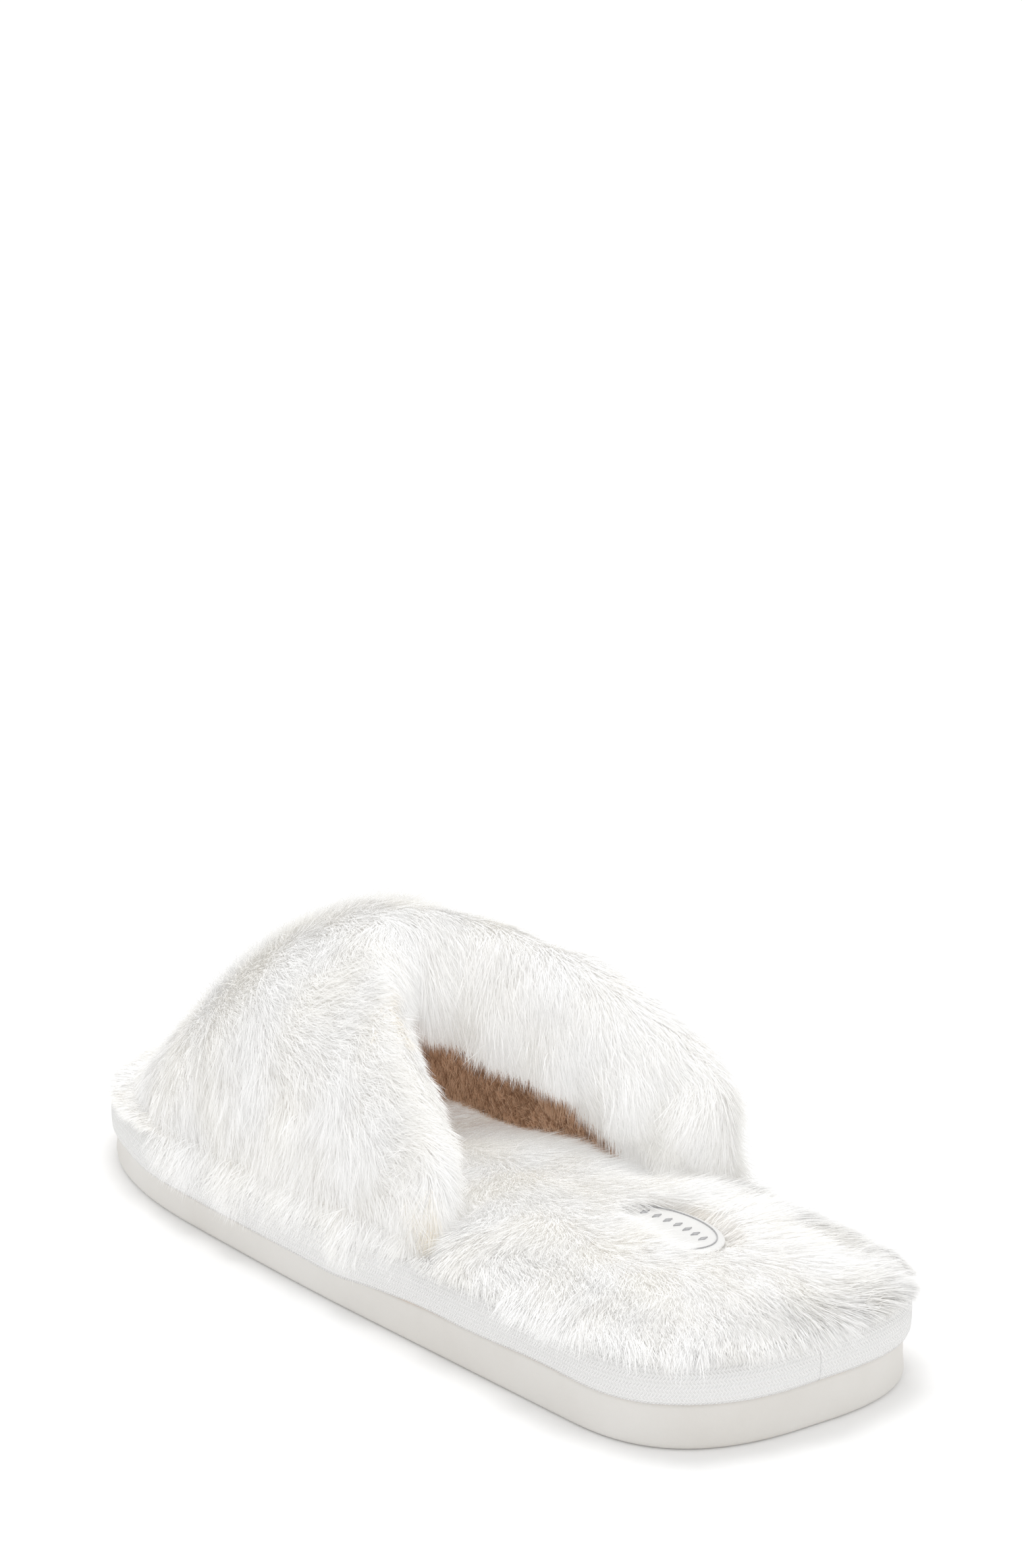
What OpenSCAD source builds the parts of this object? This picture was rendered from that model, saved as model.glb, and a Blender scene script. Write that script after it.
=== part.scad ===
// Fluffy house slipper, left foot: a closed-toe, open-back plush scuff on a moulded foam outsole.
// Millimetres. +Z is up, the toe points along -Y, the outer side of the foot is +X.
// The origin is on the ground under the middle of the outsole.

/* [Outsole] */
// Length of the outsole
sole_l = 258; // [230:1:290]
// Width of the outsole at the waist
sole_w = 88.4; // [80:0.2:96]
// Outsole thickness at the heel
heel_t = 12; // [10:0.5:16]
// Outsole thickness at the toe
toe_t = 8.2; // [7:0.1:10]
// Length of the rounded part of the heel
heel_round = 39; // [34:1:46]
// Length of the rounded part of the toe
toe_round = 68; // [60:1:80]
// Squareness of the heel curve
heel_power = 2.7; // [2.2:0.1:3]
// Squareness of the toe curve
toe_power = 2.25; // [2:0.05:2.6]
// How far the toe swings towards the big toe
toe_shift = 4.5; // [0:0.5:6]
// Rounding of the bottom edge
edge_round = 1.9; // [1:0.1:2.5]
// Depth of the tread grooves
tread_depth = 1; // [0.6:0.1:1.5]
// Width of a tread groove
tread_gap = 2.2; // [1.5:0.1:3]
// Width of the plain edge round the tread
tread_edge = 6; // [4:0.5:10]
// Distance between tread grooves
tread_pitch = 9; // [7:0.5:14]

/* [Platform] */
// Thickness of the cement line on the outsole
glue_t = 0.5; // [0.3:0.1:0.8]
// Thickness of the insole board
board_t = 2.4; // [1.5:0.1:3]
// Height of the platform above the outsole
rim_h = 10; // [8:0.5:13]
// How far the woven tape bulges past the outsole
tape_bulge = 1.3; // [0.8:0.1:2]
// Thickness of the woven tape
tape_t = 1.4; // [1:0.1:2]
// Width of the tape's lip on top of the platform
tape_lip = 3; // [2:0.5:5]

/* [Footbed] */
// How far the foam cushion rises in the middle
foam_crown = 5; // [3:0.5:7]
// Pile height of the fluffy footbed
footbed_pile = 5; // [3:0.5:7]
// Depth of the footbed's soft edge
footbed_edge = 2.5; // [2:0.5:4]

/* [Upper] */
// Height of the upper above the platform
upper_h = 61; // [50:1:70]
// How far the fur face stands inside the outsole's edge
upper_inset = 1.5; // [0.5:0.5:3]
// Pile thickness of the fur
fur_t = 8; // [6:0.5:10]
// Thickness of the foam interlining
foam_t = 3; // [2:0.5:4]
// Thickness of the tan plush lining
lining_t = 3; // [2:0.5:4]
// Squareness of the arch: a small value gives square shoulders
arch_power = 0.83; // [0.75:0.01:0.95]
// Where the throat's notch sits, ahead of the middle
notch_y = 38; // [30:1:46]
// Run of the throat edge on the outer side
outer_run = 68; // [60:1:80]
// Run of the throat edge on the inner side
inner_run = 86; // [76:1:90]
// Shape of the throat curve
throat_power = 1.35; // [1.2:0.05:2]

/* [Collar] */
// How far the collar's roll stands behind the throat on the inner half
collar_roll_in = 14; // [10:0.5:16]
// The same on the outer half, where the roll is slimmer
collar_roll_out = 7; // [6:0.5:12]
// Outward puff of the collar
collar_puff_out = 0.5; // [0.2:0.05:0.6]
// Inward puff of the collar
collar_puff_in = 1.5; // [0.6:0.1:1.6]

/* [Label] */
// Length of the heel label
label_l = 36; // [30:1:40]
// Width of the heel label
label_w = 22; // [18:1:24]
// Thickness of the label's cloth
label_t = 0.8; // [0.5:0.1:1.2]
// Distance of the label behind the middle of the sole
label_y = 70; // [60:1:76]
// Distance of the label towards the inner side
label_x = 2.5; // [0:0.5:8]

/* [Hidden] */

half_l = sole_l / 2;
half_w = sole_w / 2;
// Stations along the sole, and the small flat left at each end of it
stations = 36;
end_flat = 0.1;
// Stations of the dome from its edge to the middle, and how far in the last one lies
dome_steps = 6;
dome_in = 40;
dome_power = 2.4;
// Steps of the upper: round half the arch, and from the throat to the toe
arch_steps = 9;
long_steps = 14;
// Steps round the collar's roll
roll_steps = 8;
// Where the toe rise starts before the toe, and its whole length
rise_lead = 5;
rise_l = 90;
// Thickness of the whole upper
upper_t = fur_t + foam_t + lining_t;
// Clearance between soft layers that meet
skin_gap = 0.15;
// The footbed stays this far inside the upper's lining
footbed_gap = 1;
// Length over which the footbed widens behind the upper
widen_l = 7;
// The padding's size as a share of the collar, and its flat front
pad_share = 0.5;
pad_front = 2;
collar_end = 6;
// The pocket in the footbed's pile for the label
pocket_gap = 0.4;
pocket_depth = 2.2;
label_sides = 36;
mark_t = 0.3;
mark_rim = 1;

// Smooth step from 0 to 1
function smooth(t) = let (u = min(1, max(0, t))) u * u * (3 - 2 * u);

function mix(a, b, t) = a + (b - a) * t;

function unit(v) = v / norm(v);

// A quarter of a superellipse: 1 where t is 0, and 0 where t is 1
function round_end(t, power) = pow(1 - pow(min(1, max(0, t)), power), 1 / power);

// Half width of the sole at distance s from the back of the heel
function width_at(s) = half_w * round_end((heel_round - s) / heel_round, heel_power)
    * round_end((s - sole_l + toe_round) / toe_round, toe_power);

// Sideways swing of the sole's middle line
function swing(s) = -toe_shift * smooth((s - 120) / (sole_l - 120));

// Height of the outsole's top at y
function sole_top(y) = mix(heel_t, toe_t, smooth((half_l - y - 40) / 150));

// Where the throat edge meets the platform on the outer side (1) and the inner side (-1)
function upper_end(side) = -notch_y + (side > 0 ? outer_run : inner_run) + collar_end;

// 1 beside the upper and 0 at the bare heel
function in_upper(y, side) = 1 - smooth((y - upper_end(side)) / widen_l);

function station(i) = end_flat + (sole_l - 2 * end_flat) * (1 - cos(180 * i / stations)) / 2;

// A point on the sole's outline moved out by d. inset is added where the upper stands.
function rim_point(i, side, d, inset, z) =
    let (s = station(i), y = half_l - s, e = d - inset * in_upper(y, side))
    [(swing(s) + side * width_at(s)) * (half_w + e) / half_w, y * (half_l + e) / half_l, z + sole_top(y)];

// A closed ring round the sole at height z above the outsole's top
function ring(d, z, inset = 0) = concat(
    [for (i = [0:stations]) rim_point(i, 1, d, inset, z)],
    [for (i = [stations:-1:0]) rim_point(i, -1, d, inset, z)]);

// The same ring at a true height above the ground
function floor_ring(d, z) = [for (p = ring(d, 0)) [p[0], p[1], z]];

// A closed solid through rings of equal length. Each ring runs out along one side and back along
// the other, so both end caps are strips between the two sides.
module skin(rings) {
    n = len(rings[0]);
    h = n / 2;
    last = (len(rings) - 1) * n;
    walls = [for (j = [0:len(rings) - 2], i = [0:n - 1], half = [0, 1])
        let (a = j * n + i, b = j * n + (i + 1) % n)
        half == 0 ? [a, b, b + n] : [a, b + n, a + n]];
    bottom = [for (i = [0:h - 2], half = [0, 1])
        let (a = i, b = i + 1, c = n - 2 - i, d = n - 1 - i)
        half == 0 ? [c, b, a] : [d, c, a]];
    top = [for (i = [0:h - 2], half = [0, 1])
        let (a = last + i, b = last + i + 1, c = last + n - 2 - i, d = last + n - 1 - i)
        half == 0 ? [a, b, c] : [a, c, d]];
    polyhedron(points = [for (r = rings) each r], faces = concat(bottom, walls, top), convexity = 8);
}

// A ring-shaped solid whose last ring joins its first
module hoop(rings) {
    n = len(rings[0]);
    m = len(rings);
    walls = [for (j = [0:m - 1], i = [0:n - 1], half = [0, 1])
        let (k = (j + 1) % m, a = j * n + i, b = j * n + (i + 1) % n, c = k * n + (i + 1) % n, d = k * n + i)
        half == 0 ? [a, b, c] : [a, c, d]];
    polyhedron(points = [for (r = rings) each r], faces = walls, convexity = 8);
}

// Rings of a dome from its edge to the middle line
function dome(z0, rise) = [for (k = [0:dome_steps])
    let (t = k / dome_steps, edge = -tape_lip, inset = upper_inset + upper_t + footbed_gap - tape_lip)
    ring(mix(edge, -dome_in, t), z0 + rise * (1 - pow(1 - t, dome_power)), inset * (1 - t))];

function reversed(list) = [for (i = [len(list) - 1:-1:0]) list[i]];

// Height of the upper above the platform at distance q from the toe
function rise(q, top) = top * smooth((q + rise_lead) / rise_l);

// Position along the sole of the throat edge at arch angle a, before layers are offset
function throat(a) = -notch_y + (cos(a) > 0 ? outer_run : inner_run) * pow(abs(cos(a)), throat_power);

// A point of the upper at arch angle a (0 outer side, 90 top, 180 inner side), u from throat (0)
// to toe (1), at depth t under the fur's face
function upper_point(a, u, t) =
    let (y = mix(throat(a), end_flat - half_l, u), s = half_l - y, d = -upper_inset - t, c = cos(a))
    [(swing(s) + width_at(s) * sign(c) * pow(abs(c), arch_power)) * (half_w + d) / half_w,
    y * (half_l + d) / half_l,
    sole_top(y) + rim_h + skin_gap + rise(y + half_l, upper_h - t) * pow(max(0, sin(a)), arch_power)];

// Steps along the upper are closest at the toe, where the outline turns
function along(j) = sin(90 * j / long_steps);

// One layer of one half of the upper, from depth t0 to t1
module upper_layer(side, t0, t1) {
    first = side > 0 ? 0 : 90;
    skin([for (i = [0:arch_steps]) let (a = first + 90 * i / arch_steps) concat(
        [for (j = [0:long_steps]) upper_point(a, along(j), t0)],
        [for (j = [long_steps:-1:0]) upper_point(a, along(j), t1)])]);
}

// A point of the collar's roll at arch angle a and roll angle r (-90 lining side, 90 fur side). share,
// out and swell scale its thickness, its roll and its puff, and front moves it back from the throat.
function collar_point(a, r, share, front, out, swell) =
    let (outer = upper_point(a, 0, 0), middle = upper_point(a, 0, upper_t / 2),
        back = unit(middle - upper_point(a, 0.02, upper_t / 2)), full = sqrt(max(0, sin(a))),
        puff = (r > 0 ? collar_puff_out : collar_puff_in) * full * swell,
        high = mix(collar_roll_in, collar_roll_out, smooth(2 * cos(a))),
        roll = mix(collar_end, high, full) * share)
    middle + (outer - middle) * share * sin(r) * (1 + puff * cos(r))
    + back * (skin_gap + front + out * roll * cos(r));

function collar_line(a, share, front, out, swell) = [for (k = [0:roll_steps])
    collar_point(a, mix(-90, 90, k / roll_steps), share, front, out, swell)];

function collar_angles(side) = [for (i = [0:arch_steps]) (side > 0 ? 0 : 90) + 90 * i / arch_steps];

module collar_fur(side) {
    skin([for (a = collar_angles(side)) concat(collar_line(a, 1, 0, 1, 1),
        reversed(collar_line(a, pad_share, pad_front, 1, 0)))]);
}

module collar_padding(side) {
    skin([for (a = collar_angles(side)) concat(collar_line(a, pad_share, pad_front, 1, 0),
        reversed(collar_line(a, pad_share, 0, 0, 0)))]);
}

// The label's oval, grown by d
module label_shape(d) {
    polygon([for (i = [0:label_sides - 1]) let (a = 360 * i / label_sides)
        [(label_w / 2 + d) * cos(a), (label_l / 2 + d) * sin(a)]]);
}

// Floor of the pocket in the footbed's pile
pocket_z = heel_t + rim_h + foam_crown + footbed_pile - pocket_depth;

module outsole() {
    color("ivory") difference() {
        skin([floor_ring(-edge_round, 0), floor_ring(-edge_round * 0.3, edge_round * 0.3),
            floor_ring(0, edge_round), ring(0, 0)]);
        for (k = [-12:12])
            let (y = k * tread_pitch, s = half_l - y)
                translate([swing(s), y, 0])
                    cube([2 * width_at(s) - 2 * tread_edge, tread_gap, 2 * tread_depth], center = true);
    }
}

module glue_line() {
    color("tan") skin([ring(-0.4, 0), ring(-0.4, glue_t)]);
}

module insole_board() {
    color("burlywood") skin([ring(-tape_t - 0.2, glue_t), ring(-tape_t - 0.2, glue_t + board_t)]);
}

module edge_tape() {
    mid = rim_h * 0.55;
    color("white") hoop([ring(-0.3, glue_t), ring(tape_bulge * 0.8, rim_h * 0.3), ring(tape_bulge, mid),
        ring(tape_bulge * 0.6, rim_h * 0.85), ring(-1, rim_h), ring(-tape_lip, rim_h),
        ring(-tape_lip, rim_h - tape_t), ring(tape_bulge * 0.6 - tape_t - 0.4, rim_h * 0.72),
        ring(tape_bulge - tape_t, mid), ring(tape_bulge * 0.8 - tape_t, rim_h * 0.3),
        ring(-tape_t, glue_t)]);
}

module footbed_foam() {
    color("lightyellow") skin(concat(
        [ring(-tape_t - 0.2, glue_t + board_t), ring(tape_bulge - tape_t - 0.1, rim_h * 0.5),
        ring(tape_bulge * 0.6 - tape_t - 0.6, rim_h * 0.7), ring(-tape_lip, rim_h - tape_t),
        ring(-tape_lip, rim_h - 0.05)], dome(rim_h, foam_crown)));
}

module footbed_fur() {
    color("white") difference() {
        skin(concat(reversed(dome(rim_h, foam_crown)),
            dome(rim_h + footbed_edge, foam_crown + footbed_pile - footbed_edge)));
        translate([-label_x, label_y, pocket_z])
            linear_extrude(height = 2 * pocket_depth)
                label_shape(pocket_gap);
    }
}

module upper_fur_outer() {
    color("white") upper_layer(1, 0, fur_t);
}

module upper_fur_inner() {
    color("white") upper_layer(-1, 0, fur_t);
}

module upper_foam_outer() {
    color("lightyellow") upper_layer(1, fur_t, fur_t + foam_t);
}

module upper_foam_inner() {
    color("lightyellow") upper_layer(-1, fur_t, fur_t + foam_t);
}

module upper_lining_outer() {
    color("tan") upper_layer(1, fur_t + foam_t, upper_t);
}

module upper_lining_inner() {
    color("tan") upper_layer(-1, fur_t + foam_t, upper_t);
}

module collar_fur_outer() {
    color("snow") collar_fur(1);
}

module collar_fur_inner() {
    color("snow") collar_fur(-1);
}

module collar_padding_outer() {
    color("lightyellow") collar_padding(1);
}

module collar_padding_inner() {
    color("lightyellow") collar_padding(-1);
}

module heel_label() {
    color("gainsboro") translate([-label_x, label_y, pocket_z])
        linear_extrude(height = label_t) label_shape(0);
}

// A plain woven border with a row of lozenges on a bar
module label_mark() {
    color("silver") translate([-label_x, label_y, pocket_z + label_t])
        linear_extrude(height = mark_t) union() {
            difference() {
                label_shape(-1.5);
                label_shape(-1.5 - mark_rim);
            }
            square([1, label_l - 4], center = true);
            for (k = [-2:2])
                translate([0, k * 5.5])
                    rotate(45) square(3.2, center = true);
        }
}

outsole();
glue_line();
insole_board();
footbed_foam();
footbed_fur();
edge_tape();
upper_fur_outer();
upper_fur_inner();
upper_foam_outer();
upper_foam_inner();
upper_lining_outer();
upper_lining_inner();
collar_fur_outer();
collar_fur_inner();
collar_padding_outer();
collar_padding_inner();
heel_label();
label_mark();
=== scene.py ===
"""Fluffy house slipper: the looks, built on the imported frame. Lengths below are millimetres."""
import math

import bpy
import numpy as np
from mathutils import Matrix, Vector


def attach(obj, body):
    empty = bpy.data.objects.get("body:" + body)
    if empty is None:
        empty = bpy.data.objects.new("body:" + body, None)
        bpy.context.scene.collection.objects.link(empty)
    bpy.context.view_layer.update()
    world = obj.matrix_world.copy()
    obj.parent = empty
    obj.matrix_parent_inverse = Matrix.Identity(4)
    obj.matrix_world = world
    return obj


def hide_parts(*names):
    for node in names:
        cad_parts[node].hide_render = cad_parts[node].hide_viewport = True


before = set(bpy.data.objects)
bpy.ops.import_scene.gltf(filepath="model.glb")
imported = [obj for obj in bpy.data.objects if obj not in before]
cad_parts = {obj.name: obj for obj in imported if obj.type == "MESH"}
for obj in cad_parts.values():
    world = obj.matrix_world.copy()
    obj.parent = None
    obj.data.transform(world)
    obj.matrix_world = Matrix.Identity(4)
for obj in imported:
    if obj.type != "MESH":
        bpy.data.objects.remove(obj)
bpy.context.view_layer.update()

MM = 0.001
SEED = 20

# ---------------------------------------------------------------- driving sizes, as in part.scad
SOLE_L = 258.0
SOLE_W = 88.4
HEEL_T = 12.0
TOE_T = 8.2
HEEL_ROUND, HEEL_POWER = 39.0, 2.7
TOE_ROUND, TOE_POWER = 68.0, 2.25
TOE_SHIFT = 4.5
EDGE_ROUND = 1.9
TREAD_DEPTH, TREAD_GAP, TREAD_PITCH, TREAD_EDGE = 1.0, 2.2, 9.0, 6.0
# The grooves end this many pitches from the middle, and their ends slope over this length
TREAD_REACH, TREAD_SLOPE = 12.4, 0.4
# How hollow the sole's wall is, and how round its top edge
WALL_HOLLOW, TOP_ROUND = 0.25, 0.4
GLUE_T = 0.5
RIM_H = 10.0
TAPE_LIP = 3.0
FOAM_CROWN = 5.0
FOOTBED_PILE = 5.0
UPPER_H = 61.0
UPPER_INSET = 1.5
FUR_T, FOAM_T, LINING_T = 8.0, 3.0, 3.0
UPPER_T = FUR_T + FOAM_T + LINING_T
ARCH_POWER = 0.83
NOTCH_Y, OUTER_RUN, INNER_RUN, THROAT_POWER = 38.0, 68.0, 86.0, 1.35
RISE_LEAD, RISE_L = 5.0, 90.0
COLLAR_ROLL_IN, COLLAR_ROLL_OUT, COLLAR_END = 14.0, 7.0, 6.0
PUFF_OUT, PUFF_IN = 0.5, 1.5
LABEL_L, LABEL_W, LABEL_T, LABEL_X, LABEL_Y = 36.0, 22.0, 0.8, -2.5, 70.0
DOME_IN, DOME_POWER = 40.0, 2.4
FOOTBED_GAP = 1.0
WIDEN_L = 7.0
HALF_L, HALF_W = SOLE_L / 2, SOLE_W / 2
END_FLAT = 0.1

# The skin that the pile grows from lies this far under the CAD's fur face, and deeper at the toe
SKIN_DEPTH = 4.5
TOE_THIN = 1.0
# The tape's top edge is pressed down by this much at the toe, from this y on and in full after this reach
TOE_PRESS, PRESS_Y, PRESS_REACH = 2.0, -92, 32
# The collar's cloth: its size as a share of the CAD collar, on the outer and on the inner half, and how far the
# inner half sags, at its start and at its middle
SLIM_ROLL, FULL_ROLL = 0.35, 0.8
SAG_START, SAG_MIDDLE = 4.5, 7.0
# How much larger that share is where the inner half swells, and how much smaller at its far end
SWELL, SHRINK = 0.12, 0.3
# The cloth's inner face and the padding's round and flat side, as shares of the way out from the roll's middle
CLOTH_SHARE, ROUND_SHARE, FLAT_SHARE = 0.8, 0.78, 0.9
# The cushion's crown is lower by these shares at the toe and at the far corner of the heel
TOE_FLATTEN, FAR_HEEL_DROP = 0.6, 0.35
# The cushion's crown above the foam, its edge above the tape's lip, and the depth of its soft hollows
CROWN, CUSHION_EDGE, HOLLOWS = FOAM_CROWN + 1.0, 1.4, 0.5
# The skirt grows on the lowest part of the arch, this far up in radians
HEM = 0.075
# Steps round the sole for the sole's pieces and for the footbed, and round the label
RING_STEPS, BED_STEPS, LABEL_STEPS = 420, 220, 96
UP = np.array([0, 0, 1.0])


# ---------------------------------------------------------------- shape functions
def smooth(t):
    t = np.clip(t, 0.0, 1.0)
    return t * t * (3 - 2 * t)


def mix(a, b, t):
    return a + (b - a) * t


def unit(v):
    return v / np.maximum(np.linalg.norm(v, axis=-1, keepdims=True), 1e-9)


def round_end(t, power):
    return (1 - np.clip(t, 0, 1) ** power) ** (1 / power)


def width_at(s):
    heel = round_end((HEEL_ROUND - s) / HEEL_ROUND, HEEL_POWER)
    return HALF_W * heel * round_end((s - SOLE_L + TOE_ROUND) / TOE_ROUND, TOE_POWER)


def swing(s):
    return -TOE_SHIFT * smooth((s - 120) / (SOLE_L - 120))


def sole_top(y):
    return mix(HEEL_T, TOE_T, smooth((HALF_L - y - 40) / 150))


def outline(steps):
    """Stations and sides once round the sole: down the outer side, back up the inner side."""
    t = np.linspace(0, math.pi, steps)
    s = END_FLAT + (SOLE_L - 2 * END_FLAT) * (1 - np.cos(t)) / 2
    heel = np.linspace(0.02, 1, 10)[:-1]
    s = np.concatenate([np.full(len(heel), END_FLAT), s])
    side = np.concatenate([heel, np.ones(steps)])
    return np.concatenate([s, s[::-1]]), np.concatenate([side, -side[::-1]])


def rim(s, side, d, z):
    """Points on the sole's outline moved out by d, at height z above the outsole's top."""
    y = HALF_L - s
    x = (swing(s) + side * width_at(s)) * (HALF_W + d) / HALF_W
    return np.stack([x, y * (HALF_L + d) / HALF_L, z + sole_top(y)], -1)


def toe_press(y):
    return TOE_PRESS * smooth((PRESS_Y - y) / PRESS_REACH)


def upper_end(side):
    return -NOTCH_Y + np.where(side > 0, OUTER_RUN, INNER_RUN) + COLLAR_END


def in_upper(y, side):
    return 1 - smooth((y - upper_end(side)) / WIDEN_L)


def throat(a):
    c = np.cos(a)
    return -NOTCH_Y + np.where(c > 0, OUTER_RUN, INNER_RUN) * np.abs(c) ** THROAT_POWER


def upper_point(a, u, depth):
    """A point of the upper: a goes round the arch, u from the throat to the toe."""
    y = mix(throat(a), END_FLAT - HALF_L, u)
    d = -UPPER_INSET - depth
    c = np.cos(a)
    s = HALF_L - y
    x = (swing(s) + width_at(s) * np.sign(c) * np.abs(c) ** ARCH_POWER) * (HALF_W + d) / HALF_W
    rise = (UPPER_H - depth) * smooth((y + HALF_L + RISE_LEAD) / RISE_L)
    z = sole_top(y) + RIM_H + rise * np.maximum(0, np.sin(a)) ** ARCH_POWER
    return np.stack([x, y * (HALF_L + d) / HALF_L, z], -1)


def collar_point(a, r, share=1.0):
    """A point of the collar's roll: r is -90 degrees at the lining and 90 at the fur face."""
    outer = upper_point(a, 0 * a, 0)
    middle = upper_point(a, 0 * a, UPPER_T / 2)
    back = unit(middle - upper_point(a, 0 * a + 0.02, UPPER_T / 2))
    full = np.sqrt(np.maximum(0, np.sin(a)))
    puff = np.where(r > 0, PUFF_OUT, PUFF_IN) * full
    roll = mix(COLLAR_END, mix(COLLAR_ROLL_IN, COLLAR_ROLL_OUT, smooth(2 * np.cos(a))), full) * share
    across = (outer - middle) * (share * np.sin(r) * (1 + puff * np.cos(r)))[..., None]
    return middle + across + back * (roll * np.cos(r))[..., None]


def skin_share(a):
    """Size of the roll under the collar's pile, as a share of the CAD collar. It swells before its far end."""
    fills = smooth((a - 1.05) / 0.5)
    swells = np.exp(-((a - 2.35) / 0.35) ** 2)
    shrinks = smooth((a - 2.65) / 0.4)
    return mix(SLIM_ROLL, FULL_ROLL, fills) + SWELL * swells - SHRINK * shrinks


def collar_skin(a, r):
    """The cloth of the collar. On the inner half its lining side sags into the opening."""
    sag = mix(SAG_START, SAG_MIDDLE, smooth((a - 2.0) / 0.7))
    sag = sag * smooth((a - 1.35) / 0.5) * smooth((3.0 - a) / 0.45)
    drop = sag * smooth(0.35 - 0.65 * np.sin(r))
    return collar_point(a, r, skin_share(a)) - drop[..., None] * UP


def skin_point(a, u):
    """The cloth that the upper's pile grows from. It meets the collar's roll at the throat."""
    depth = mix(UPPER_T / 2 * (1 - skin_share(a)), SKIN_DEPTH, smooth(u / 0.3))
    return upper_point(a, u, depth + TOE_THIN * smooth((u - 0.65) / 0.25))


def footbed_point(s, side, t, lift):
    """A point of the footbed's dome: t is 0 at its edge and 1 near the middle line."""
    inset = (UPPER_INSET + UPPER_T + FOOTBED_GAP - TAPE_LIP) * in_upper(HALF_L - s, side)
    left = np.maximum(0, 1 - t)
    far_heel = smooth((62 - s) / 35) * (side < 0) * left
    lift = lift * (1 - TOE_FLATTEN * smooth((s - HALF_L) / 40)) * (1 - FAR_HEEL_DROP * far_heel)
    return rim(s, side, mix(-TAPE_LIP, -DOME_IN, t) - inset * left, RIM_H + lift * (1 - left ** DOME_POWER))


# ---------------------------------------------------------------- mesh helpers
def new_piece(name, verts, faces, body="root"):
    mesh = bpy.data.meshes.new(name)
    mesh.from_pydata((np.asarray(verts) * MM).tolist(), [], faces)
    mesh.update()
    mesh.shade_smooth()
    piece = bpy.data.objects.new(name, mesh)
    bpy.context.scene.collection.objects.link(piece)
    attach(piece, body)
    return piece


def grid_faces(rows, cols, wrap_rows=False, wrap_cols=False):
    faces = []
    for j in range(rows if wrap_rows else rows - 1):
        for i in range(cols if wrap_cols else cols - 1):
            k = (j + 1) % rows
            m = (i + 1) % cols
            faces.append((j * cols + i, j * cols + m, k * cols + m, k * cols + i))
    return faces


def strip(row, cols, flip):
    """A cap over a ring that runs out along one side and back along the other."""
    faces = []
    for i in range(cols // 2 - 1):
        face = (row + i, row + i + 1, row + cols - 2 - i, row + cols - 1 - i)
        faces.append(face[::-1] if flip else face)
    return faces


def loft(name, rings, closed=False):
    """A closed piece through rings of equal length, stacked upwards."""
    rings = np.asarray(rings)
    rows, cols = rings.shape[:2]
    faces = [f[::-1] for f in grid_faces(rows, cols, wrap_rows=closed, wrap_cols=True)]
    if not closed:
        faces += strip(0, cols, False)
        faces += strip((rows - 1) * cols, cols, True)
    return new_piece(name, rings.reshape(-1, 3), faces)


def add_attribute(piece, name, values):
    layer = piece.data.attributes.new(name, "FLOAT", "POINT")
    layer.data.foreach_set("value", np.asarray(values, dtype=np.float32).ravel())


# ---------------------------------------------------------------- materials
class Nodes:
    """A short way to write a node material."""

    def __init__(self, name):
        self.material = bpy.data.materials.new(name)
        self.material.use_nodes = True
        self.tree = self.material.node_tree
        self.shader = self.tree.nodes["Principled BSDF"]

    def add(self, kind, inputs=None, **settings):
        node = self.tree.nodes.new(kind)
        for key, value in settings.items():
            setattr(node, key, value)
        for key, value in (inputs or {}).items():
            if isinstance(value, bpy.types.NodeSocket):
                self.tree.links.new(value, node.inputs[key])
            else:
                node.inputs[key].default_value = value
        return node

    def math(self, operation, a, b=0.0):
        return self.add("ShaderNodeMath", {0: a, 1: b}, operation=operation).outputs[0]

    def noise(self, scale, detail=3.0, coords=None):
        coords = coords or self.add("ShaderNodeTexCoord").outputs["Object"]
        inputs = {"Vector": coords, "Scale": scale, "Detail": detail}
        return self.add("ShaderNodeTexNoise", inputs).outputs["Fac"]

    def ramp(self, factor, stops):
        node = self.add("ShaderNodeValToRGB", {"Fac": factor})
        node.color_ramp.elements[0].position = stops[0][0]
        node.color_ramp.elements[0].color = (*stops[0][1], 1)
        node.color_ramp.elements[1].position = stops[1][0]
        node.color_ramp.elements[1].color = (*stops[1][1], 1)
        for place, colour in stops[2:]:
            node.color_ramp.elements.new(place).color = (*colour, 1)
        return node.outputs["Color"]

    def bump(self, height, strength, distance):
        node = self.add("ShaderNodeBump", {"Height": height, "Strength": strength, "Distance": distance})
        self.set("Normal", node.outputs["Normal"])

    def set(self, key, value):
        if isinstance(value, bpy.types.NodeSocket):
            self.tree.links.new(value, self.shader.inputs[key])
        else:
            self.shader.inputs[key].default_value = value


def foam_sole_material():
    m = Nodes("outsole_foam")
    patches = m.noise(30.0, 4.0)
    m.set("Base Color", m.ramp(patches, [(0.3, (0.735, 0.71, 0.67)), (0.7, (0.80, 0.782, 0.75))]))
    m.set("Roughness", 0.62)
    grain = m.noise(2600.0, 2.0)
    m.bump(grain, 0.25, 0.0002)
    return m.material


def cement_material():
    m = Nodes("cement")
    m.set("Base Color", m.ramp(m.noise(400.0), [(0.35, (0.74, 0.48, 0.26)), (0.65, (0.88, 0.68, 0.46))]))
    m.set("Roughness", 0.5)
    return m.material


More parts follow.
